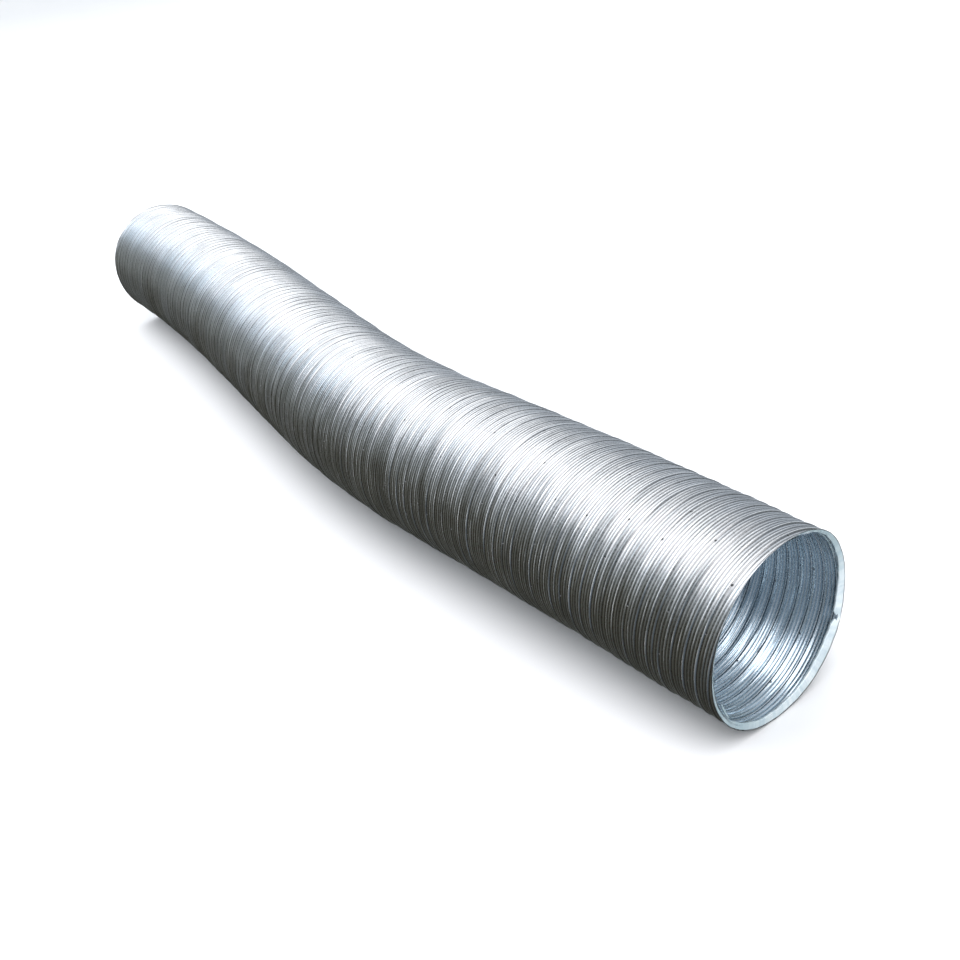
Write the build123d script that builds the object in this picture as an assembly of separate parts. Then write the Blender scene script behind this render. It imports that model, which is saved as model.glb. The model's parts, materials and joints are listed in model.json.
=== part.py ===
"""Flexible air duct: a strip-wound aluminium and paper hose that lies in a gentle S.

Three strips, wound together in one helix, make the wall: an outer foil, a paper core and an inner foil.
Stiff turn groups, each with its own three plies, alternate with flexible turns, which fold and open as
the duct is bent, drawn out or pushed together. Lengths are in millimetres and angles in degrees.
+X runs along the duct, from its back end to its front mouth, and +Z is up. The origin is on the surface
that the duct lies on, under the middle of its box.
"""

from build123d import *
import os
from math import atan2, cos, degrees, hypot, radians, sin

os.makedirs("parts", exist_ok=True)

# Overall size
BORE_DIAMETER = 60.0
OUTER_DIAMETER = 63.0
LENGTH = 500.0
STRIP_TURNS = 37

# The wall, from the air side outwards
INNER_FOIL_THICKNESS = 0.6
PAPER_THICKNESS = 0.3
SEAM_RIDGE_HEIGHT = 0.2
SEAM_RIDGE_WIDTH = 1.6

# Stiff turn groups and the flexible turns between them
GROUPS = 15
CUFF_TURNS = 2
RUNNING_GAP = 0.1

# The shape at rest. The duct sets off from its back end along a heading, turned from +X about +Z, and
# a rise above level. Each bend is spread evenly over a run of flexible turns, from its first to its last.
START_HEADING = -1.0
START_RISE = 0.55
BENDS = [
    {"first": 1, "last": 4, "sideways": -4.8, "up": 0.0},
    {"first": 8, "last": 10, "sideways": 10.6, "up": 0.0},
    {"first": 12, "last": 14, "sideways": 1.6, "up": -3.8},
]

TURN = LENGTH / STRIP_TURNS
CUFF_LENGTH = CUFF_TURNS * TURN
FLEX_LENGTH = (LENGTH - 2 * CUFF_LENGTH - (GROUPS - 2) * TURN) / (GROUPS - 1)

BORE_RADIUS = BORE_DIAMETER / 2
OUTER_RADIUS = OUTER_DIAMETER / 2
PAPER_RADIUS = BORE_RADIUS + INNER_FOIL_THICKNESS
OUTER_FOIL_RADIUS = PAPER_RADIUS + PAPER_THICKNESS
RIB_RADIUS = OUTER_RADIUS - SEAM_RIDGE_HEIGHT


def bend_at(number):
    """How far one run of flexible turns bends the duct at rest, sideways and up."""
    for bend in BENDS:
        if bend["first"] <= number <= bend["last"]:
            runs = bend["last"] - bend["first"] + 1
            return bend["sideways"] / runs, bend["up"] / runs
    return 0.0, 0.0


def along_bend(length, sideways, up, share=1.0):
    """The move from the start of an evenly bent stretch to a share of the way along it."""
    bend = share * hypot(sideways, up)
    roll = Rot(degrees(atan2(up, sideways)), 0, 0)
    half = radians(bend) / 2
    chord = share * length * (sin(half) / half if bend else 1.0)
    return roll * Pos(chord * cos(half), chord * sin(half), 0) * Rot(0, 0, bend) * roll.inverse()


def stretches():
    """Walk along the centreline and yield each stretch: its kind, number, start, length and bend."""
    place = Location((0, 0, 0), (0, 0, START_HEADING)) * Rot(0, -START_RISE, 0)
    for number in range(1, GROUPS + 1):
        length = CUFF_LENGTH if number in (1, GROUPS) else TURN
        yield "group", number, place, length, (0.0, 0.0)
        if number < GROUPS:
            place *= Pos(length, 0, 0)
            bend = bend_at(number)
            yield "flex", number, place, FLEX_LENGTH, bend
            place *= along_bend(FLEX_LENGTH, *bend)


def tube(inner_radius, outer_radius, length, start=0.0):
    """A straight tube along +X."""
    ring = Plane.YZ.offset(start) * (Circle(outer_radius) - Circle(inner_radius))
    return extrude(ring, amount=length)


def bent_tube(inner_radius, outer_radius, length, sideways, up):
    """A tube that leaves the origin along +X and bends evenly, sideways and up."""
    bend = hypot(sideways, up)
    if not bend:
        return tube(inner_radius, outer_radius, length)
    ring = Plane.YZ * (Circle(outer_radius) - Circle(inner_radius))
    middle = Axis((0, length / radians(bend), 0), (0, 0, 1))
    return Rot(degrees(atan2(up, sideways)), 0, 0) * revolve(ring, axis=middle, revolution_arc=bend)


def turn_group(number, length):
    """The plies of one stiff turn group. It stops just short of the flexible turns beside it."""
    start = 0.0 if number == 1 else RUNNING_GAP
    end = length if number == GROUPS else length - RUNNING_GAP
    inner_foil = tube(BORE_RADIUS, PAPER_RADIUS, end - start, start)
    paper_core = tube(PAPER_RADIUS, OUTER_FOIL_RADIUS, end - start, start)
    if number in (1, GROUPS):
        # a hose clip grips the cuffs on their rib crests
        outer_foil = tube(OUTER_FOIL_RADIUS, OUTER_RADIUS, end - start, start)
    else:
        outer_foil = tube(OUTER_FOIL_RADIUS, RIB_RADIUS, end - start, start)
        outer_foil += tube(OUTER_FOIL_RADIUS, OUTER_RADIUS, SEAM_RIDGE_WIDTH, (length - SEAM_RIDGE_WIDTH) / 2)
    return {"inner_foil": inner_foil, "paper_core": paper_core, "outer_foil": outer_foil}


def build():
    """Every sub-part of the duct, by name, with the origin under the middle of the whole."""
    parts = {}
    for kind, number, place, length, bend in stretches():
        if kind == "flex":
            parts[f"flexible_turns_{number:02d}"] = place * bent_tube(BORE_RADIUS, RIB_RADIUS, length, *bend)
            continue
        for ply, solid in turn_group(number, length).items():
            parts[f"{ply}_{number:02d}"] = place * solid
    box = Compound(children=[Part(part.wrapped) for part in parts.values()]).bounding_box()
    to_origin = Pos(-box.center().X, -box.center().Y, -box.min.Z)
    return {name: to_origin * part for name, part in parts.items()}, to_origin


PARTS, TO_ORIGIN = build()
for name, part in PARTS.items():
    export_step(part, f"parts/{name}.step")
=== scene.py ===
"""Looks of the flexible air duct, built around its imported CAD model. Metres, in the CAD model's own axes.

The duct's wall is one ribbed skin, wound as a helix round the CAD centreline. It is cut into pieces: a
stretch piece and a bend piece for each run of flexible turns, and two rigid cuffs. Four small pieces
finish its ends: the two cut edges, and two edges of the strip that stand off the wall inside the mouth.

Throughout, s is the distance along the duct from its back end. An angle is measured round the duct:
0 is +Y and a quarter turn is up.
"""

import json
from math import pi, radians, sin

import bpy
import numpy as np
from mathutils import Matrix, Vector

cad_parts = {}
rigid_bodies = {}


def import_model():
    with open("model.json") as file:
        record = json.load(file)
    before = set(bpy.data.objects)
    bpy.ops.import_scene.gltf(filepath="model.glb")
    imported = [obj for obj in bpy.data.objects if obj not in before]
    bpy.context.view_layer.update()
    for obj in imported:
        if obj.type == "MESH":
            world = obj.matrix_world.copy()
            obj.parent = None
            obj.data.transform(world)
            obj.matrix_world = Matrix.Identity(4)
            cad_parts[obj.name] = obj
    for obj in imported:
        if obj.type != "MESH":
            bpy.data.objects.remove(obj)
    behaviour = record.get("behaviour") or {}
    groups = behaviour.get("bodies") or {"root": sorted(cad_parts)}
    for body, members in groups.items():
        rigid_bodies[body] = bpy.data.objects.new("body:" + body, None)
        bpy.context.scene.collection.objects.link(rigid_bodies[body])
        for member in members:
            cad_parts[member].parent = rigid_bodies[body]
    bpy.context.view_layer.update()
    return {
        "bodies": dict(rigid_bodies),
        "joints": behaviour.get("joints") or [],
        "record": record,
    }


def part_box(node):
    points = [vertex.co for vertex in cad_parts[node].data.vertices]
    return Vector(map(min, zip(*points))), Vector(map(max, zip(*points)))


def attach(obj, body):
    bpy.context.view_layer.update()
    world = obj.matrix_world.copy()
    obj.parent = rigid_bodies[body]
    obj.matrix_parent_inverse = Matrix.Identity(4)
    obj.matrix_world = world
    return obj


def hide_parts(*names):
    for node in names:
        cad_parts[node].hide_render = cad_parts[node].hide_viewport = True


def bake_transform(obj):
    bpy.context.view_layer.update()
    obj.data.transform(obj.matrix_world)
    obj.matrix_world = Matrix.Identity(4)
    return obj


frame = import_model()

JOINTS = {joint["name"]: joint for joint in frame["joints"]}
MOUNTS = {mount["name"]: mount for mount in frame["record"]["mounts"]}
GROUPS = sum(name.startswith("turn_group_") for name in frame["bodies"])

# Sizes that the CAD model gives
MM = 0.001
TURN_ANGLE = 2 * pi
CUFF_TURNS = 2
RUNNING_GAP = 0.1 * MM
CUFF = MOUNTS["back_spigot_bore"]["dims"]["length_mm"] * MM + RUNNING_GAP
LEAD = CUFF / CUFF_TURNS
BORE = MOUNTS["back_spigot_bore"]["dims"]["r_mm"] * MM
OUTSIDE = MOUNTS["back_clip_seat"]["dims"]["r_mm"] * MM

# The strip has twelve ribs to a turn. The lock seam is the highest rib, and two of the others are
# stronger, so each turn has three bands. The ribs between the cuffs are set back a little.
HAND = -1
RIBS = 12
RIB_STRENGTH = [1.0, 0.28, 0.58, 0.36, 0.92, 0.24, 0.5, 0.4, 0.86, 0.3, 0.64, 0.24]
STRONG_RIB = 0.8
BANDS = 3
RELIEF = 0.38 * MM
SETBACK = 0.2 * MM
SETBACK_RUN = 12 * MM
BAND_ARCH = 0.055 * MM
BAND_ARCH_PERIOD = 57 * MM

# How uneven a rib is along its own length, how much of its height is left where it is worn most, at the
# back end, and how much more at the mouth
RIB_UNEVENNESS = 0.36
LEAST_HEIGHT = 0.08
HEIGHT_AT_BACK = 0.36
MORE_AT_MOUTH = 0.6
WEAR_UNEVENNESS = 0.1
WEAR_PERIOD = 90 * MM

# Slight dents all over the wall: how deep, how many waves add up to them, and the shortest of those waves
DENT_DEPTH = 0.045 * MM
DENT_WAVE_COUNT = 26
DENT_WAVELENGTH = 22 * MM

# The inner face: its ribs, the groove beside each stronger one, and how near a cut it opens out to the lip
INNER_RELIEF = 0.12 * MM
INNER_GROOVE = 0.24 * MM
GROOVE_WIDTH = 0.07
FLARE_RUN = 1.8 * MM

# The mouth is pressed in on one side
PRESSED_DEPTH = 1.0 * MM
PRESSED_RUN = 34 * MM
PRESSED_AT = radians(188)
PRESSED_WIDTH = 0.75

# The cut edges, in millimetres. Each is sheared askew, with one deeper bite, and its lip is wider on
# one side.
FRONT_CUT = {"askew": 0.25, "away_from": radians(285), "bite": 2.1, "bite_at": radians(12), "wide": 0.75}
BACK_CUT = {"askew": 0.3, "away_from": radians(60), "bite": 0.8, "bite_at": radians(200), "wide": 0.6}
FRONT_LIP = {"least": 0.75, "more": 0.95, "away_from": radians(122), "extra": 1.5, "extra_at": radians(312)}
BACK_LIP = {"least": 1.2, "more": 0.5, "away_from": radians(250), "extra": 0.0, "extra_at": 0.0}
EXTRA_LIP_WIDTH = 0.6
CUT_WAVER = 0.08 * MM
LIP_WAVER = 0.14 * MM
TEAR_DEPTH = 2.1 * MM
TEAR_AT = radians(338)
TEAR_WIDTH = radians(2.8)
# Where the painted highlight on the cut edges is centred; painted shade darkens them away from it
RIM_HIGHLIGHT_AT = radians(315)

# The section of a cut edge, in millimetres: depths behind the cut and insets from the outside. Three rows
# go over its outer corner, LIP_ROWS across the lip, and three back behind it. Those last three are measured
# from the lip's inner edge.
CORNER_DEPTHS = [0.9, 0.5, 0.3]
CORNER_INSETS = [0.5, 0.2, 0.06]
BEHIND_DEPTHS = [0.15, 0.35, 0.9]
BEHIND_INSETS = [0.03, -0.05, -0.3]
LIP_ROWS = 8

# The cuffs stop this far short of their cut edges, because the edges' own rings cover the rest
EDGE_DEPTH = 0.5 * MM

# The edges of the strip that stand off the wall: where each starts, how far round it runs, and its size
LOOSE_END = {"from": radians(202), "sweep": radians(17), "width": 0.6 * MM, "thickness": 0.45 * MM}
LOOSE_EDGE = {"from": radians(18), "sweep": radians(34), "width": 0.4 * MM, "thickness": 0.35 * MM}
LOOSE_EDGE_SETBACK = 2.3 * MM
LOOSE_STEPS = 24

# How finely the skin is divided, along and round the duct, and how finely a hinge is looked for
OUTER_STEPS = 7 * RIBS
INNER_STEPS = 6 * RIBS
COLUMNS = 132
EDGE_COLUMNS = 360
HINGE_SEARCH_STEPS = 400

# Marks on the foil. First, how much less metallic a crest is under its painted highlight line. SWAY is how
# far the ribs are tipped round the duct, one against another. The thin line of painted shade beside each
# stronger rib, standing for a fold, is a share of a band from it, and the punched dots, darkened by painted
# shade, are a share of a turn from the seam.
PAINTED_GLINT_DULLING = 0.3
SWAY = 0.6
FOLD_BESIDE = 0.1
PRICK_BESIDE = 0.055
PRICK_SPACING = 21 * MM
# Colour of the painted shade in the fold lines and the punched dots
PAINTED_SHADE = (0.05, 0.05, 0.05, 1)

# The two faces of the wall. On each, the valley colour is painted shade in the grooves between the ribs,
# and the fold depth is how dark the thin line of painted shade beside each stronger rib is.
OUTER_FOIL = {
    "crest": (0.9108, 0.92, 0.9292, 1), "valley_shade": (0.38, 0.38, 0.38, 1), "roughness": 0.27,
    "crest_roughness": 0.12, "prick_size": 0.34 * MM, "worn": 0.15, "metallic": 1.0, "fold_shade_depth": 0.18,
    "lean": 0.0, "crinkle": 0.55,
}
# The inner face's blue tint, in both its colours, is a painted reflection of blue sky.
INNER_FOIL = {
    "crest": (0.91, 0.96, 1.0, 1), "valley_shade": (0.58, 0.71, 0.80, 1), "roughness": 0.24,
    "crest_roughness": 0.06, "prick_size": 0.42 * MM, "worn": 0.2, "metallic": 0.96, "fold_shade_depth": 1.0,
    "lean": 0.8, "crinkle": 0.25,
}


# ---------------------------------------------------------------- centreline

def unit(vector):
    vector = np.array(vector, float)
    return vector / np.linalg.norm(vector)


def group_line(number):
    """Centre and direction of one turn group."""
    low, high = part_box(f"inner_foil_{number:02d}")
    centre = np.array((low + high) / 2)
    if number == GROUPS:
        return centre, unit(MOUNTS["front_spigot_bore"]["axis"])
    return centre, unit(JOINTS[f"stretch_{number:02d}"]["axis"])


def line_knots():
    """Ends of every turn group, as point and direction, from the back end to the front mouth."""
    knots = []
    for number in range(1, GROUPS + 1):
        centre, along = group_line(number)
        before = after = LEAD / 2
        if number == 1:
            before, after = (CUFF - RUNNING_GAP) / 2, (CUFF + RUNNING_GAP) / 2
        elif number == GROUPS:
            before, after = (CUFF + RUNNING_GAP) / 2, (CUFF - RUNNING_GAP) / 2
        knots.append((centre - along * before, along))
        knots.append((centre + along * after, along))
    return knots


def arc_length(knot, other):
    """Length of the even bend that joins two knots."""
    chord = np.linalg.norm(other[0] - knot[0])
    half = np.arccos(np.clip(knot[1] @ other[1], -1, 1)) / 2
    return chord * (half / sin(half) if half > 1e-6 else 1.0)


KNOTS = line_knots()
SPANS = np.array([arc_length(a, b) for a, b in zip(KNOTS, KNOTS[1:])])
STATIONS = np.concatenate([[0], np.cumsum(SPANS)])
LENGTH = STATIONS[-1]
TURNS = LENGTH / LEAD
KNOT_POINTS = np.array([knot[0] for knot in KNOTS])
KNOT_DIRECTIONS = np.array([knot[1] for knot in KNOTS])


def place(s, angle, radius):
    """The point at a distance along the duct, an angle round it and a radius. Between two knots, the
    centreline is a cubic that keeps their directions."""
    span = np.clip(np.searchsorted(STATIONS, s, side="right") - 1, 0, len(SPANS) - 1)
    length = SPANS[span][..., None]
    t = (s - STATIONS[span])[..., None] / length
    p, q = KNOT_POINTS[span], KNOT_POINTS[span + 1]
    d, e = KNOT_DIRECTIONS[span] * length, KNOT_DIRECTIONS[span + 1] * length
    centre = ((2 * t**3 - 3 * t**2 + 1) * p + (t**3 - 2 * t**2 + t) * d
              + (3 * t**2 - 2 * t**3) * q + (t**3 - t**2) * e)
    along = (6 * t**2 - 6 * t) * (p - q) + (3 * t**2 - 4 * t + 1) * d + (3 * t**2 - 2 * t) * e
    along /= np.linalg.norm(along, axis=-1, keepdims=True)
    upward = np.array([0, 0, 1.0]) - along[..., 2:3] * along
    upward /= np.linalg.norm(upward, axis=-1, keepdims=True)
    sideways = np.cross(upward, along)
    radius = np.asarray(radius)[..., None]
    return centre + radius * (np.cos(angle)[..., None] * sideways + np.sin(angle)[..., None] * upward)


# ---------------------------------------------------------------- shape of the skin

rng = np.random.default_rng(7)
RIB_WAVES = [(rng.uniform(0.6, 7.0, 7), rng.uniform(0, TURN_ANGLE, 7)) for _ in range(RIBS)]
DENT_WAVES = [(rng.integers(1, 7), rng.uniform(-1, 1) * TURN_ANGLE / DENT_WAVELENGTH,
               rng.uniform(0, TURN_ANGLE)) for _ in range(DENT_WAVE_COUNT)]


def bump(x, middle, width):
    """A smooth bump of height 1."""
    return np.exp(-(((x - middle) / width) ** 2))


def smooth(share):
    """An eased step from 0 to 1."""
    share = np.clip(share, 0, 1)
    return share * share * (3 - 2 * share)


def angle_from(angle, middle):
    """Angle measured from a middle angle, within half a turn either way."""
    return (angle - middle + pi) % TURN_ANGLE - pi


def strip_place(s, angle):
    """Place across the strip, in turns (whole at the seam), and the rib that it belongs to."""
    across = s / LEAD - HAND * angle / TURN_ANGLE
    rib = np.round(across * RIBS).astype(int) % RIBS
    return across, rib


def rib_height(s, rib):
    """Each rib stands higher and lower along its length, as rolled foil does, and all are worn flatter
    towards the back end, the stronger ones least."""
    height = np.zeros_like(s)
    for number, (rates, starts) in enumerate(RIB_WAVES):
        mine = rib == number
        phase = s[mine][..., None] / LEAD * rates * TURN_ANGLE * 0.5 + starts
        height[mine] = RIB_STRENGTH[number] * (1 + RIB_UNEVENNESS * np.cos(phase).sum(-1) / 2)
    strong = np.array(RIB_STRENGTH)[rib] > STRONG_RIB
    left = HEIGHT_AT_BACK + MORE_AT_MOUTH * s / LENGTH
    left = left + WEAR_UNEVENNESS * np.cos(TURN_ANGLE * s / WEAR_PERIOD + 2.0)
    return np.clip(np.where(strong, height * (0.35 + 0.65 * left), height * left), LEAST_HEIGHT, 1.0)


def band_swell(across, s):
    """The bands between stronger ribs are slightly arched, more in some places than in others."""
    rise = 0.6 + 0.4 * np.cos(TURN_ANGLE * s / BAND_ARCH_PERIOD + 1.0)
    return BAND_ARCH * rise * (np.cos(BANDS * TURN_ANGLE * across + 0.9) - 1)


def dents(s, angle):
    """Handling marks: a slight inward unevenness of the whole wall, the same on both of its faces, and
    the pressed-in side of the mouth."""
    depth = sum(np.cos(waves * angle + rate * s + start) for waves, rate, start in DENT_WAVES)
    pressed = smooth((s - LENGTH + PRESSED_RUN) / PRESSED_RUN)
    pressed = PRESSED_DEPTH * pressed * bump(angle_from(angle, PRESSED_AT), 0, PRESSED_WIDTH)
    return DENT_DEPTH * (depth / 3 - 1.2).clip(-2.4, 0) - pressed


def outer_radius(s, angle):
    """The cuffs are full size. Between them the crests lie a little lower, as on the CAD model's ribs."""
    across, rib = strip_place(s, angle)
    wave = (0.5 + 0.5 * np.cos(across * RIBS * TURN_ANGLE)) ** 1.25
    crest = OUTSIDE - SETBACK * smooth((np.minimum(s, LENGTH - s) - CUFF) / SETBACK_RUN)
    return crest - RELIEF * (1 - wave * rib_height(s, rib)) + band_swell(across, s) + dents(s, angle)


def lip_flare(radius, short_of_edge, lip_radius):
    """The inner face opens out over its last stretch, to meet the inner edge of the lip."""
    share = smooth(1 - short_of_edge / FLARE_RUN)
    return radius + share * np.maximum(lip_radius - radius, 0)


def inner_radius(s, angle):
    """Inside, the ribs are shallower, and a groove runs beside each stronger one."""
    across, rib = strip_place(s, angle)
    wave = 0.5 + 0.5 * np.cos(across * RIBS * TURN_ANGLE)
    groove = bump((across * BANDS + 0.5) % 1 - 0.5, 0, GROOVE_WIDTH)
    depth = INNER_RELIEF * wave * (0.55 + 0.45 * rib_height(s, rib)) + INNER_GROOVE * groove
    dent = dents(s, angle)
    radius = BORE + depth + dent
    radius = lip_flare(radius, LENGTH - front_cut(angle) - s, OUTSIDE + dent - front_lip(angle))
    return lip_flare(radius, s - back_cut(angle), OUTSIDE + dent - back_lip(angle))


def short_of_square(angle, cut):
    """How far a cut edge falls short of a square end."""
    askew = cut["askew"] * (1 - np.cos(angle - cut["away_from"]))
    return MM * (askew + cut["bite"] * bump(angle_from(angle, cut["bite_at"]), 0, cut["wide"]))


def lip_width(angle, lip):
    """How wide the pressed-in lip at a cut edge is."""
    width = lip["least"] + lip["more"] * (1 - np.cos(angle - lip["away_from"]))
    return MM * (width + lip["extra"] * bump(angle_from(angle, lip["extra_at"]), 0, EXTRA_LIP_WIDTH))


def front_cut(angle):
    return short_of_square(angle, FRONT_CUT)


def back_cut(angle):
    return short_of_square(angle, BACK_CUT)


def front_lip(angle):
    return lip_width(angle, FRONT_LIP)


def back_lip(angle):
    return lip_width(angle, BACK_LIP)


def front_tear(angle):
    """A short split in the lip at the mouth: how much of its width is missing."""
    return TEAR_DEPTH * bump(angle_from(angle, TEAR_AT), 0, TEAR_WIDTH)


def no_tear(angle):
    return np.zeros_like(angle)


# ---------------------------------------------------------------- meshes

def new_piece(name, points, faces, uvs, materials, kinds, flat_kinds=()):
    """A mesh object from arrays: points, triangles, a UV pair for each corner, a material for each face."""
    mesh = bpy.data.meshes.new(name)
    mesh.vertices.add(len(points))
    mesh.vertices.foreach_set("co", points.astype(np.float32).ravel())
    mesh.loops.add(faces.size)
    mesh.loops.foreach_set("vertex_index", faces.astype(np.int32).ravel())
    mesh.polygons.add(len(faces))
    mesh.polygons.foreach_set("loop_start", np.arange(0, faces.size, 3, dtype=np.int32))
    mesh.polygons.foreach_set("material_index", kinds.astype(np.int32))
    mesh.polygons.foreach_set("use_smooth", ~np.isin(kinds, flat_kinds))
    mesh.update(calc_edges=True)
    layer = mesh.uv_layers.new(name="strip")
    layer.data.foreach_set("uv", uvs.astype(np.float32).ravel())
    mesh.validate()
    for material in materials:
        mesh.materials.append(material)
    piece = bpy.data.objects.new(name, mesh)
    bpy.context.scene.collection.objects.link(piece)
    return piece


def wound_skin(start, end, steps, radius):
    """One face of the wall, from start to end (a distance for each column). Its rows follow the strip.
    Returns points, triangles, UVs, and the rings of point numbers at its start and end."""
    step = LEAD / steps
    first = int(np.floor(start.min() / step)) - steps - 2
    last = int(np.ceil(end.max() / step)) + steps + 2
    rows = np.arange(first, last + 1)
    lift = HAND * steps * np.arange(COLUMNS) / COLUMNS
    begin = np.floor(start / step - lift + 1e-6).astype(int) + 1
    stop = np.ceil(end / step - lift - 1e-6).astype(int) - 1
    counts = stop - begin + 3
    bases = np.concatenate([[0], np.cumsum(counts)[:-1]])
    numbers = bases + np.clip(rows[:, None] - begin + 1, 0, counts - 1)
    column = np.repeat(np.arange(COLUMNS), counts)
    order = np.arange(counts.sum()) - bases[column]
    s = (begin[column] + order - 1 + lift[column]) * step
    s = np.where(order == 0, start[column], np.where(order == counts[column] - 1, end[column], s))
    angle = column * TURN_ANGLE / COLUMNS
    points = place(s, angle, radius(s, angle))
    grid = np.empty((len(rows), COLUMNS + 1), int)
    grid[:, :COLUMNS] = numbers
    grid[:, COLUMNS] = numbers[np.clip(np.arange(len(rows)) + HAND * steps, 0, len(rows) - 1), 0]
    a, b, c, d = grid[:-1, :-1], grid[1:, :-1], grid[1:, 1:], grid[:-1, 1:]
    left = np.broadcast_to(np.arange(COLUMNS), a.shape)
    faces = np.concatenate([np.stack([a, d, c], -1).reshape(-1, 3), np.stack([a, c, b], -1).reshape(-1, 3)])
    turns = np.concatenate([np.stack([left, left + 1, left + 1], -1).reshape(-1, 3),
                            np.stack([left, left + 1, left], -1).reshape(-1, 3)]) / COLUMNS
    whole = (faces[:, 0] != faces[:, 1]) & (faces[:, 1] != faces[:, 2]) & (faces[:, 2] != faces[:, 0])
    faces, turns = faces[whole], turns[whole]
    uvs = np.stack([s[faces] / LEAD, turns], -1)
    return points, faces, uvs, bases, bases + counts - 1


def cap(outer_ring, inner_ring, s, facing_back):
    """The ring that closes the wall between its outer and its inner face."""
    outer_next, inner_next = np.roll(outer_ring, -1), np.roll(inner_ring, -1)
    faces = np.concatenate([np.stack([outer_ring, outer_next, inner_next], -1),
                            np.stack([outer_ring, inner_next, inner_ring], -1)])
    turn = np.arange(COLUMNS) / COLUMNS
    turns = np.concatenate([np.stack([turn, turn + 1 / COLUMNS, turn + 1 / COLUMNS], -1),
                            np.stack([turn, turn + 1 / COLUMNS, turn], -1)])
    uvs = np.stack([np.full(turns.shape, s / LEAD), turns], -1)
    if facing_back:
        faces, uvs = faces[:, ::-1], uvs[:, ::-1]
    return faces, uvs


def wall_piece(name, start, end, materials):
    """A closed length of the duct's wall between two distances along it. Its ends show the paper core,
    except at the two ends of the duct, where the foil is crushed over it."""
    start = np.broadcast_to(np.asarray(start, float), (COLUMNS,))
    end = np.broadcast_to(np.asarray(end, float), (COLUMNS,))
    points, faces, uvs, outer_start, outer_end = wound_skin(start, end, OUTER_STEPS, outer_radius)
    inner = wound_skin(start, end, INNER_STEPS, inner_radius)
    shift = len(points)
    inner_faces, inner_uvs = inner[1][:, ::-1] + shift, inner[2][:, ::-1]
    back_faces, back_uvs = cap(outer_start, inner[3] + shift, start[0], True)
    front_faces, front_uvs = cap(outer_end, inner[4] + shift, end[0], False)
    cut_at_back, cut_at_front = start.max() < LEAD, end.min() > LENGTH - LEAD
    kinds = np.repeat([0, 1, 1 if cut_at_back else 2, 1 if cut_at_front else 2],
                      [len(faces), len(inner_faces), len(back_faces), len(front_faces)])
    points = np.concatenate([points, inner[0]])
    faces = np.concatenate([faces, inner_faces, back_faces, front_faces])
    uvs = np.concatenate([uvs, inner_uvs, back_uvs, front_uvs])
    return new_piece(name, points, faces, uvs, materials, kinds, flat_kinds=(2,))


def edge_ring(name, outline, materials, corner_rows):
    """A closed ring round the duct. outline(angle) gives the distance along and the radius of its section.
    The rows at its outer corner show the second material."""
    angle = np.arange(EDGE_COLUMNS) * TURN_ANGLE / EDGE_COLUMNS
    s, radius = outline(angle)
    points = place(s, np.broadcast_to(angle[:, None], s.shape), radius).reshape(-1, 3)
    count = s.shape[1]
    i = np.arange(EDGE_COLUMNS)[:, None]
    k = np.arange(count)[None, :]
    i_next, k_next = (i + 1) % EDGE_COLUMNS, (k + 1) % count
    a, b = i * count + k, i_next * count + k
    c, d = i_next * count + k_next, i * count + k_next
    faces = np.concatenate([np.stack([a, b, c], -1).reshape(-1, 3), np.stack([a, c, d], -1).reshape(-1, 3)])
    turn = np.broadcast_to(i / EDGE_COLUMNS, a.shape)
    far = turn + 1 / EDGE_COLUMNS
    turns = np.concatenate([np.stack([turn, far, far], -1).reshape(-1, 3),
                            np.stack([turn, far, turn], -1).reshape(-1, 3)])
    along = s.reshape(-1)[faces] / LEAD
    kinds = np.tile(np.broadcast_to(np.isin(k, corner_rows), a.shape).reshape(-1), 2).astype(int)
    return new_piece(name, points, faces, np.stack([along, turns], -1), materials, kinds)


def sliver(name, s, angle, radius, width, thickness, material):
    """A loose edge of foil along a path inside the duct, tapered towards both of its ends."""
    count = len(s)
    taper = np.sin(np.linspace(0.12, pi - 0.12, count)) ** 0.5
    across = np.array([-0.5, 0.5, 0.5, -0.5]) * width
    inward = np.array([0.0, 0.0, 1.0, 1.0]) * thickness
    points = place(s[:, None] + across * taper[:, None], np.repeat(angle[:, None], 4, axis=1),
                   radius[:, None] - inward * taper[:, None]).reshape(-1, 3)
    quads = [(4 * i + j, 4 * i + (j + 1) % 4, 4 * i + 4 + (j + 1) % 4, 4 * i + 4 + j)
             for i in range(count - 1) for j in range(4)]
    last = 4 * (count - 1)
    quads += [(3, 2, 1, 0), (last, last + 1, last + 2, last + 3)]
    quads = np.array(quads)
    faces = np.concatenate([quads[:, [0, 1, 2]], quads[:, [0, 2, 3]]])
    uvs = np.stack([np.repeat(s, 4)[faces] / LEAD, np.repeat(angle, 4)[faces] / TURN_ANGLE], -1)
    return new_piece(name, points, faces, uvs, [material], np.zeros(len(faces), int))


# ---------------------------------------------------------------- materials

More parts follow.
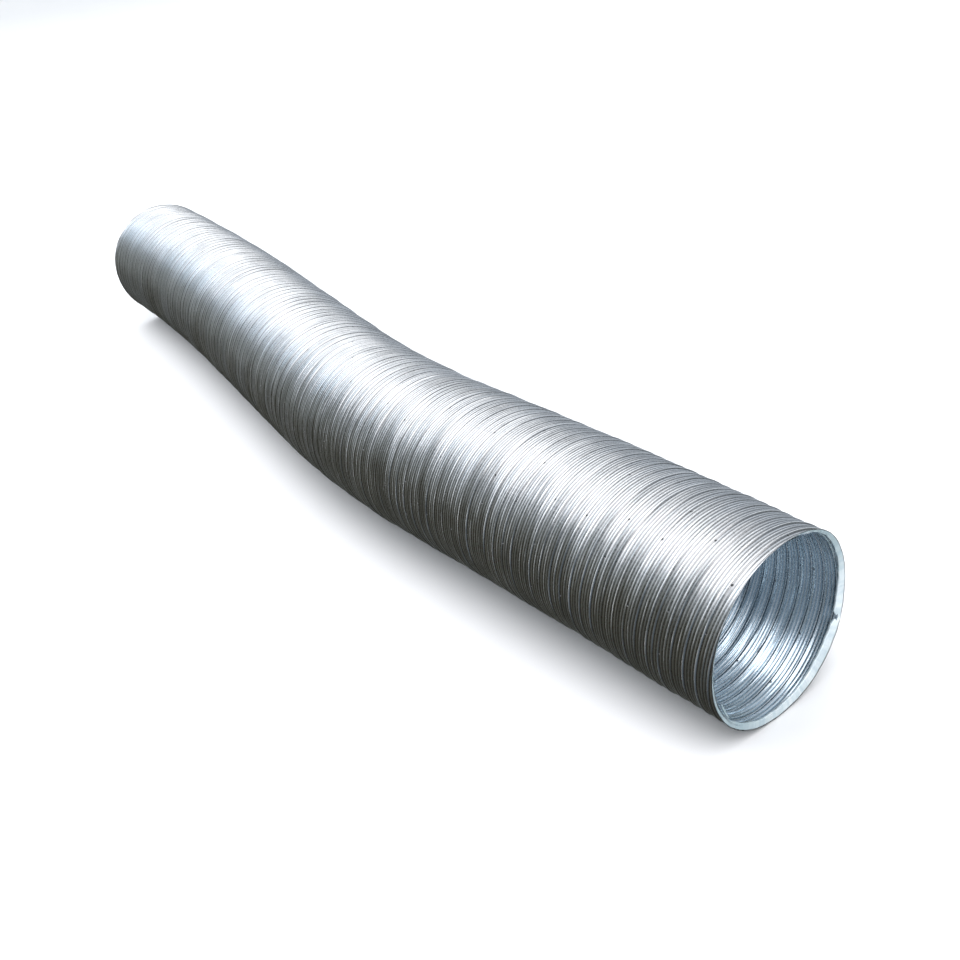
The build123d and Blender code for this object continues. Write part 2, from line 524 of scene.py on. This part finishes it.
class Graph:
    """Short ways to add nodes to a material or a world. A socket or a number can be given for any input."""

    def __init__(self, owner, shader="Principled BSDF"):
        owner.use_nodes = True
        self.owner = owner
        self.tree = owner.node_tree
        self.shader = self.tree.nodes[shader]

    def feed(self, socket, value):
        if isinstance(value, bpy.types.NodeSocket):
            self.tree.links.new(value, socket)
        else:
            socket.default_value = value

    def add(self, kind, inputs=(), **settings):
        node = self.tree.nodes.new(kind)
        for key, value in settings.items():
            setattr(node, key, value)
        for key, value in dict(inputs).items():
            self.feed(node.inputs[key], value)
        return node

    def math(self, operation, *values, clamp=False):
        node = self.add("ShaderNodeMath", operation=operation, use_clamp=clamp)
        for socket, value in zip(node.inputs, values):
            self.feed(socket, value)
        return node.outputs[0]

    def vector_math(self, operation, inputs):
        return self.add("ShaderNodeVectorMath", inputs, operation=operation).outputs[0]

    def scaled(self, value, low, high, to_low=0.0, to_high=1.0):
        node = self.add("ShaderNodeMapRange", {"Value": value, "From Min": low, "From Max": high,
                                               "To Min": to_low, "To Max": to_high})
        node.interpolation_type = "SMOOTHSTEP"
        return node.outputs["Result"]

    def noise(self, vector, scale, detail=3.0, roughness=0.5):
        return self.add("ShaderNodeTexNoise", {"Vector": vector, "Scale": scale, "Detail": detail,
                                               "Roughness": roughness}).outputs[0]

    def mix(self, share, first, second):
        node = self.add("ShaderNodeMix", data_type="RGBA")
        self.feed(node.inputs["Factor"], share)
        for socket, value in zip((node.inputs[6], node.inputs[7]), (first, second)):
            self.feed(socket, value)
        return node.outputs[2]

    def bump(self, height, distance, strength=1.0, under=None):
        node = self.add("ShaderNodeBump", {"Height": height, "Distance": distance, "Strength": strength})
        if under is not None:
            self.tree.links.new(under, node.inputs["Normal"])
        return node.outputs["Normal"]

    def set(self, **inputs):
        for key, value in inputs.items():
            self.feed(self.shader.inputs[key.replace("_", " ")], value)


def strip_coordinates(graph):
    """Place across the strip in turns, the distance along it, the distance along the duct in turns, the
    angle round the duct, and a vector that is fixed to the wall."""
    uv = graph.add("ShaderNodeUVMap", uv_map="strip").outputs[0]
    split = graph.add("ShaderNodeSeparateXYZ", {"Vector": uv})
    along, turn = split.outputs[0], split.outputs[1]
    across = graph.math("SUBTRACT", along, graph.math("MULTIPLY", turn, HAND))
    turns_run = graph.math("ADD", graph.math("FLOOR", across), graph.math("MULTIPLY", turn, HAND))
    run = graph.math("MULTIPLY", turns_run, TURN_ANGLE * OUTSIDE)
    angle = graph.math("MULTIPLY", turn, TURN_ANGLE)
    vector = graph.add("ShaderNodeCombineXYZ", {
        "X": graph.math("MULTIPLY", along, LEAD),
        "Y": graph.math("MULTIPLY", graph.math("COSINE", angle), OUTSIDE),
        "Z": graph.math("MULTIPLY", graph.math("SINE", angle), OUTSIDE)}).outputs[0]
    return across, run, along, angle, vector


def stretched(graph, vector, along, round_it):
    return graph.vector_math("MULTIPLY", {0: vector, 1: (along, round_it, round_it)})


def prick_mask(graph, across, run, beside, spacing, size):
    """Small punched dots beside the seam, at uneven steps along the strip."""
    cell = graph.math("FLOOR", graph.math("DIVIDE", run, spacing))
    shift = graph.add("ShaderNodeTexWhiteNoise", {"W": cell}, noise_dimensions="1D").outputs[0]
    place_in = graph.math("SUBTRACT", graph.math("FRACT", graph.math("DIVIDE", run, spacing)),
                          graph.math("ADD", graph.math("MULTIPLY", shift, 0.6), 0.2))
    x = graph.math("MULTIPLY", place_in, spacing)
    y = graph.math("MULTIPLY", graph.math("SUBTRACT", graph.math("FRACT", across), beside), LEAD)
    squares = graph.math("MULTIPLY", x, x), graph.math("MULTIPLY", y, y)
    distance = graph.math("SQRT", graph.math("ADD", *squares))
    return graph.scaled(distance, size * 0.2, size * 1.2, 1.0, 0.0)


def foil(name, crest, valley_shade, roughness, crest_roughness, prick_size, worn, metallic, fold_shade_depth, lean,
         crinkle):
    """Rolled aluminium foil: bright rib crests, painted shade in the grooves, crinkles across the ribs and
    punched dots darkened by painted shade. A thin line of painted shade lies beside each stronger rib. The
    crests of the stronger ribs carry pale, less metallic painted highlight lines, most near the mouth and
    on top, where the light falls. lean is how far the bands of the strip face the nearer end of the duct."""
    graph = Graph(bpy.data.materials.new(name))
    across, run, along, angle, vector = strip_coordinates(graph)
    wave = graph.math("COSINE", graph.math("MULTIPLY", across, RIBS * TURN_ANGLE))
    crest_share = graph.scaled(wave, -0.5, 0.95)
    blotches = graph.noise(vector, 70.0, 4.0)
    streaks = graph.noise(stretched(graph, vector, 900.0, 22.0), 1.0, 2.0)
    crinkles = graph.noise(stretched(graph, vector, 260.0, 900.0), 1.0, 3.0, 0.65)
    grain = graph.noise(stretched(graph, vector, 2600.0, 1500.0), 1.0, 2.0)
    pricks = prick_mask(graph, across, run, PRICK_BESIDE, PRICK_SPACING, prick_size)
    share = graph.math("MULTIPLY", crest_share, graph.scaled(streaks, 0.3, 0.62, 0.55, 1.0))
    # Painted shade: the grooves between the ribs take the darker valley colour.
    colour = graph.mix(share, valley_shade, crest)
    shade = graph.scaled(blotches, 0.3, 0.7, 1 - worn, 1.0)
    tone = graph.add("ShaderNodeHueSaturation", {"Value": shade, "Color": colour}).outputs[0]
    # Painted shade: a thin dark line beside each stronger rib, standing for the shadow of a fold.
    painted_fold_shade = graph.math("MULTIPLY", band_line(graph, across, FOLD_BESIDE, 0.06),
                      graph.scaled(streaks, 0.35, 0.6, fold_shade_depth * 0.6, fold_shade_depth))
    tone = graph.mix(painted_fold_shade, tone, PAINTED_SHADE)
    # Painted shade darkens the punched dots.
    tone = graph.mix(graph.math("MULTIPLY", pricks, 0.55), tone, PAINTED_SHADE)
    # Painted highlight: thin pale lines on the crests of the stronger ribs, fading towards the back end and
    # towards the underside, as the light falls.
    painted_glint = graph.math("MAXIMUM", band_line(graph, across, 0.0, 0.036),
                       graph.math("MULTIPLY", band_line(graph, across, 0.5, 0.03), 0.7))
    painted_glint = graph.math("MULTIPLY", painted_glint, graph.scaled(streaks, 0.42, 0.6, 0.05, 1.0))
    painted_glint = graph.math("MULTIPLY", painted_glint, graph.scaled(along, 0.1 * TURNS, 0.8 * TURNS, 0.2, 1.0))
    painted_glint = graph.math("MULTIPLY", painted_glint, graph.scaled(graph.math("SINE", angle), -0.3, 0.4, 0.2, 1.0))
    tone = graph.mix(painted_glint, tone, crest)
    rough = graph.math("ADD", graph.scaled(crest_share, 0, 1, roughness, roughness + crest_roughness),
                       graph.scaled(grain, 0.3, 0.7, -0.04, 0.07))
    normal = graph.bump(crinkles, 0.10 * MM, crinkle)
    normal = graph.bump(grain, 0.03 * MM, 0.9 * crinkle, normal)
    normal = graph.bump(pricks, -0.5 * MM, 1.0, normal)
    normal = leaning(graph, normal, across, along, streaks, lean)
    metal = graph.math("SUBTRACT", metallic, graph.math("MULTIPLY", painted_glint, PAINTED_GLINT_DULLING))
    graph.set(Base_Color=tone, Metallic=metal, Roughness=rough, Normal=normal)
    return graph.owner


def leaning(graph, normal, across, along, streaks, lean):
    """Tip the normal round the duct, by a little that differs from rib to rib, and along it, towards the
    nearer end. Each band between grooves is arched, so that its two sides are tipped least."""
    tangent = graph.add("ShaderNodeTangent", direction_type="UV_MAP", uv_map="strip").outputs[0]
    round_it = graph.vector_math("CROSS_PRODUCT", {0: normal, 1: tangent})
    sway = graph.math("MULTIPLY", graph.math("SUBTRACT", streaks, 0.5),
                      graph.scaled(along, 0.3 * TURNS, 0.8 * TURNS, 0.2 * SWAY, SWAY))
    band = graph.math("FRACT", graph.math("SUBTRACT", graph.math("MULTIPLY", across, BANDS), FOLD_BESIDE))
    arch = graph.math("POWER", graph.math("SINE", graph.math("MULTIPLY", band, pi)), 0.35)
    tip = graph.math("MULTIPLY_ADD", arch, lean * 1.35, lean * -0.35)
    tip = graph.math("ADD", tip, graph.scaled(streaks, 0.3, 0.65, -0.28 * lean, 0.18 * lean))
    end = graph.add("ShaderNodeMapRange", {"Value": along, "From Min": 0.4 * TURNS, "From Max": 0.6 * TURNS,
                                           "To Min": -1.0}).outputs["Result"]
    for direction, amount in ((round_it, sway), (tangent, graph.math("MULTIPLY", tip, end))):
        part = graph.vector_math("SCALE", {0: direction, "Scale": amount})
        normal = graph.vector_math("ADD", {0: normal, 1: part})
    return graph.vector_math("NORMALIZE", {0: normal})


def band_line(graph, across, beside, width):
    """A thin line along each band of the strip. beside and width are shares of the band's width."""
    share = graph.math("FRACT", graph.math("ADD", graph.math("MULTIPLY", across, BANDS), 0.5 - beside))
    away = graph.math("ABSOLUTE", graph.math("SUBTRACT", share, 0.5))
    return graph.scaled(away, width * 0.3, width, 1.0, 0.0)


def cut_edge_foil():
    """The crushed cut edge: pale bare foil, creased by the shears, with scratches round it. A painted
    highlight makes it palest on one side, and painted shade darkens the rest."""
    graph = Graph(bpy.data.materials.new("cut_edge_foil"))
    *_, angle, vector = strip_coordinates(graph)
    creases = graph.noise(stretched(graph, vector, 300.0, 420.0), 1.0, 4.0, 0.6)
    scratches = graph.noise(stretched(graph, vector, 3000.0, 60.0), 1.0, 2.0)
    colour = graph.mix(graph.scaled(creases, 0.35, 0.65), (0.70, 0.81, 0.85, 1), (0.92, 0.99, 1.0, 1))
    # Painted highlight on one side of the cut edge, painted shade elsewhere
    painted_rim_highlight = graph.scaled(graph.math("COSINE", graph.math("SUBTRACT", angle, RIM_HIGHLIGHT_AT)), 0.1, 0.9)
    colour = graph.mix(painted_rim_highlight, graph.mix(0.65, colour, (0.24, 0.36, 0.40, 1)), colour)
    rough = graph.scaled(scratches, 0.3, 0.7, 0.3, 0.5)
    normal = graph.bump(creases, 0.25 * MM, 0.8)
    normal = graph.bump(scratches, 0.05 * MM, 0.4, normal)
    graph.set(Base_Color=colour, Metallic=0.28, Roughness=rough, Normal=normal)
    return graph.owner


def kraft_paper():
    """The brown paper between the foils, seen only on a cut through the wall."""
    graph = Graph(bpy.data.materials.new("kraft_paper"))
    *_, vector = strip_coordinates(graph)
    fibres = graph.noise(stretched(graph, vector, 2500.0, 500.0), 1.0, 4.0)
    colour = graph.mix(graph.scaled(fibres, 0.3, 0.7), (0.30, 0.20, 0.11, 1), (0.50, 0.37, 0.23, 1))
    graph.set(Base_Color=colour, Roughness=0.85, Normal=graph.bump(fibres, 0.05 * MM, 0.6))
    return graph.owner


def floor_paint():
    graph = Graph(bpy.data.materials.new("floor_paint"))
    where = graph.add("ShaderNodeTexCoord").outputs["Object"]
    mottle = graph.noise(where, 6.0, 3.0)
    colour = graph.mix(mottle, (0.80, 0.80, 0.80, 1), (0.84, 0.84, 0.84, 1))
    graph.set(Base_Color=colour, Roughness=0.7, Specular_IOR_Level=0.2)
    return graph.owner


# ---------------------------------------------------------------- pieces

def plies(number):
    return [f"{ply}_{number:02d}" for ply in ("outer_foil", "paper_core", "inner_foil")]


def anchor_distances():
    """Distances along the duct of the places that move rigidly: each group's middle, and the start of the
    bend in each run of flexible turns, as far before the hinge as the next group's middle is after it."""
    group_at = [(STATIONS[2 * n] + STATIONS[2 * n + 1]) / 2 for n in range(GROUPS)]
    group_at[0] = STATIONS[1] - LEAD / 2
    group_at[-1] = STATIONS[-2] + LEAD / 2
    flex_at = []
    for number in range(1, GROUPS):
        name = f"bend_side_{number:02d}" if number % 2 else f"bend_lift_{number:02d}"
        hinge = np.array(JOINTS[name]["pos_m"])
        near = np.linspace(STATIONS[2 * number - 1], STATIONS[2 * number], HINGE_SEARCH_STEPS)
        centres = place(near, np.zeros_like(near), np.zeros_like(near))
        hinge_at = near[np.argmin(np.linalg.norm(centres - hinge, axis=1))]
        flex_at.append(2 * hinge_at - group_at[number])
    return group_at, flex_at


def centre_at(s):
    return place(np.array([s]), np.zeros(1), np.zeros(1))[0]


def make_walls():
    materials = [foil("outer_foil", **OUTER_FOIL), foil("inner_foil", **INNER_FOIL), kraft_paper()]
    group_at, flex_at = anchor_distances()
    columns = np.arange(COLUMNS) * TURN_ANGLE / COLUMNS
    back = wall_piece("back_cuff", back_cut(columns) + EDGE_DEPTH, group_at[0], materials)
    front = wall_piece("front_cuff", group_at[-1], LENGTH - front_cut(columns) - EDGE_DEPTH, materials)
    for piece, number in ((back, 1), (front, GROUPS)):
        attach(piece, f"turn_group_{number:02d}")
        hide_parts(*plies(number))
    for number in range(1, GROUPS):
        start, middle, end = group_at[number - 1], flex_at[number - 1], group_at[number]
        stretch = wall_piece(f"wall_stretch_{number:02d}", start, middle, materials)
        centre_at(start)
        centre_at(middle)
        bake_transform(stretch)
        if number > 1:
            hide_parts(*plies(number))
        bend = wall_piece(f"wall_bend_{number:02d}", middle, end, materials)
        centre_at(middle)
        centre_at(end)
        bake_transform(bend)
        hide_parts(f"flexible_turns_{number:02d}")
    return materials[0]


def lip_outline(cut, width, tear, sign):
    """Section of a cut edge that the shears pressed inwards. sign is 1 at the mouth and -1 at the back.
    It runs over the outer corner, across the lip, and back behind the lip's inner edge."""

    def outline(angle):
        waver = 0.5 * np.cos(9 * angle + 1) + 0.35 * np.cos(23 * angle + 2) + 0.25 * np.cos(41 * angle)
        fall = cut(angle) + CUT_WAVER * waver
        edge = (LENGTH - fall if sign > 0 else fall)[:, None]
        lip = (width(angle) - tear(angle) + LIP_WAVER * waver)[:, None]
        outside = (OUTSIDE + dents(edge[:, 0], angle))[:, None]
        dish = 0.8 + 0.2 * np.cos(3 * angle + 1)[:, None]
        across = np.linspace(0.0, 1.0, LIP_ROWS)
        face_back = 0.05 + 0.75 * across**1.3 * dish
        face_back[:, 0] = 0.12
        corner = len(angle), len(CORNER_DEPTHS)
        depth = np.concatenate([np.broadcast_to(CORNER_DEPTHS, corner), face_back,
                                face_back[:, -1:] + BEHIND_DEPTHS], axis=1)
        inset = np.concatenate([np.broadcast_to(CORNER_INSETS, corner) * MM, 0.02 * MM + lip * across,
                                lip + np.array(BEHIND_INSETS) * MM], axis=1)
        s = edge - sign * depth * MM
        radius = outside - inset
        return (s, radius) if sign > 0 else (s[:, ::-1], radius[:, ::-1])

    return outline


def make_edges(outer_material):
    """The two cut edges, and the edges of the strip that stand off the wall just inside the mouth."""
    material = cut_edge_foil()
    materials = [material, outer_material]
    back_outline = lip_outline(back_cut, back_lip, no_tear, -1)
    front_outline = lip_outline(front_cut, front_lip, front_tear, 1)
    pieces = [
        edge_ring("back_edge", back_outline, materials, (10, 11, 12, 13)),
        edge_ring("front_edge", front_outline, materials, (0, 1, 2, 3)),
    ]
    # The loose end stands furthest off the lip where it starts, and lies back against it where it ends
    along = np.linspace(0.0, 1.0, LOOSE_STEPS)
    angle = LOOSE_END["from"] + LOOSE_END["sweep"] * along
    edge = LENGTH - front_cut(angle)
    inside = OUTSIDE + dents(edge, angle) - front_lip(angle)
    pieces.append(sliver("front_strip_end", edge - (0.4 + 0.4 * along) * MM, angle,
                         inside - (0.1 + 0.7 * (1 - along)) * MM,
                         LOOSE_END["width"], LOOSE_END["thickness"], material))
    angle = LOOSE_EDGE["from"] + LOOSE_EDGE["sweep"] * along
    edge = LENGTH - front_cut(angle)
    pieces.append(sliver("front_strip_edge", edge - LOOSE_EDGE_SETBACK, angle, np.full(LOOSE_STEPS, BORE),
                         LOOSE_EDGE["width"], LOOSE_EDGE["thickness"], material))
    for piece in pieces:
        number = 1 if piece.name.startswith("back") else GROUPS
        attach(piece, f"turn_group_{number:02d}")


# ---------------------------------------------------------------- stage

def make_floor():
    """A pale floor that curves up into a wall all round. Reflections see the room instead of it."""
    flat, bend, height, sides = 3.5, 1.0, 3.5, 64
    turn = np.linspace(0, pi / 2, 13)
    outline = [(flat, 0.0)] + [(flat + bend * sin(t), bend * (1 - np.cos(t))) for t in turn[1:]]
    outline.append((flat + bend, height))
    around = np.arange(sides) * TURN_ANGLE / sides
    points = [(r * np.cos(a), r * np.sin(a), z) for r, z in outline for a in around]
    faces = [tuple(range(sides))]
    for ring in range(len(outline) - 1):
        for i in range(sides):
            j = (i + 1) % sides
            inner, outer = ring * sides, (ring + 1) * sides
            faces.append((inner + i, outer + i, outer + j, inner + j))
    mesh = bpy.data.meshes.new("floor")
    mesh.from_pydata(points, [], faces)
    mesh.polygons.foreach_set("use_smooth", [True] * len(mesh.polygons))
    floor = bpy.data.objects.new("floor", mesh)
    bpy.context.scene.collection.objects.link(floor)
    floor.data.materials.append(floor_paint())
    floor.visible_glossy = False
    floor.visible_shadow = False


def make_room_light():
    """Even light for the floor and for whatever isn't metal. Reflections don't see it."""
    data = bpy.data.lights.new("room", "SUN")
    data.energy = 1.6
    data.angle = radians(120)
    light = bpy.data.objects.new("room", data)
    light.visible_glossy = False
    bpy.context.scene.collection.objects.link(light)


def make_light(name, location, target, size, length, power, colour):
    data = bpy.data.lights.new(name, "AREA")
    data.shape = "RECTANGLE"
    data.size, data.size_y = length, size
    data.energy = power
    data.color = colour
    light = bpy.data.objects.new(name, data)
    light.location = location
    light.rotation_euler = (Vector(target) - Vector(location)).to_track_quat("-Z", "Y").to_euler()
    bpy.context.scene.collection.objects.link(light)


# The sky's colours on the near and the far side of the duct, from straight below (0) to overhead (1)
NEAR_SKY = [(0.0, (0.050, 0.049, 0.038, 1)), (0.45, (0.072, 0.070, 0.050, 1)),
            (0.6, (0.18, 0.195, 0.185, 1)), (0.8, (0.44, 0.50, 0.57, 1)), (1.0, (0.8, 0.84, 0.88, 1))]
FAR_SKY = [(0.0, (0.12, 0.13, 0.13, 1)), (0.36, (0.30, 0.34, 0.39, 1)), (0.5, (0.41, 0.47, 0.54, 1)),
           (0.8, (0.52, 0.57, 0.64, 1)), (1.0, (0.8, 0.84, 0.88, 1))]
FAR_SIDE = (-0.8, 0.6, 0.0)
MOUTH_SIDE = (0.97, 0.0, -0.24)
MOUTH_SKY = (0.20, 0.25, 0.31, 1)
# Pale places in the sky: direction, cosines of the angles where each starts and is full, and colour
GLOWS = [
    ((-0.823, 0.411, 0.392), 0.962, 0.996, (2.3, 2.33, 2.38, 1)),
    ((-0.93, -0.365, 0.05), 0.965, 0.995, (0.30, 0.33, 0.32, 1)),
    ((-0.955, -0.12, 0.271), 0.975, 0.997, (1.8, 2.3, 2.8, 1)),
]


def sky_ramp(graph, height, stops):
    node = graph.add("ShaderNodeValToRGB", {"Fac": height})
    while len(node.color_ramp.elements) < len(stops):
        node.color_ramp.elements.new(0.5)
    for element, (at, colour) in zip(node.color_ramp.elements, stops):
        element.position = at
        element.color = colour
    return node.outputs["Color"]


def make_sky():
    """Soft room light: pale overhead, dull olive from below. It is paler on the far side, blue-grey beyond
    the mouth, and palest in a few places beyond the back end."""
    world = bpy.data.worlds.new("sky")
    bpy.context.scene.world = world
    graph = Graph(world, "Background")
    direction = graph.add("ShaderNodeTexCoord").outputs["Generated"]

    def towards(side):
        node = graph.add("ShaderNodeVectorMath", {0: direction, 1: side}, operation="DOT_PRODUCT")
        return node.outputs["Value"]

    height = graph.math("MULTIPLY_ADD", towards((0, 0, 1)), 0.5, 0.5)
    colour = graph.mix(graph.scaled(towards(FAR_SIDE), 0.3, 0.95), sky_ramp(graph, height, NEAR_SKY),
                       sky_ramp(graph, height, FAR_SKY))
    colour = graph.mix(graph.scaled(towards(MOUTH_SIDE), 0.2, 0.85), colour, MOUTH_SKY)
    for side, start, full, glow in GLOWS:
        colour = graph.mix(graph.scaled(towards(side), start, full), colour, glow)
    graph.set(Color=colour)


CAMERA = {"lens": 47.26, "sensor": 36.0, "location": (0.45785, -0.2054, 0.25292),
          "degrees": (60.9265, 7.0425, 56.441)}


def make_camera():
    data = bpy.data.cameras.new("camera")
    data.lens = CAMERA["lens"]
    data.sensor_width = CAMERA["sensor"]
    camera = bpy.data.objects.new("camera", data)
    camera.location = CAMERA["location"]
    camera.rotation_euler = [radians(degrees) for degrees in CAMERA["degrees"]]
    bpy.context.scene.collection.objects.link(camera)
    bpy.context.scene.camera = camera


make_edges(make_walls())
make_floor()
make_light("overhead", location=(-0.1, -0.42, 1.0), target=(-0.1, 0.0, 0.0),
           size=0.95, length=1.7, power=6.4, colour=(1.0, 0.985, 1.01))
make_light("beyond", location=(-1.1, 0.08, 0.9), target=(-0.2, 0.0, 0.03),
           size=1.1, length=0.8, power=4.2, colour=(0.97, 0.99, 1.03))
make_light("mouth", location=(1.0, -0.14, 1.16), target=(0.25, 0.0, 0.03),
           size=1.2, length=1.2, power=9, colour=(1.0, 0.985, 1.0))
make_room_light()
make_sky()
make_camera()
bpy.context.scene.view_settings.view_transform = "Standard"

bpy.context.view_layer.update()
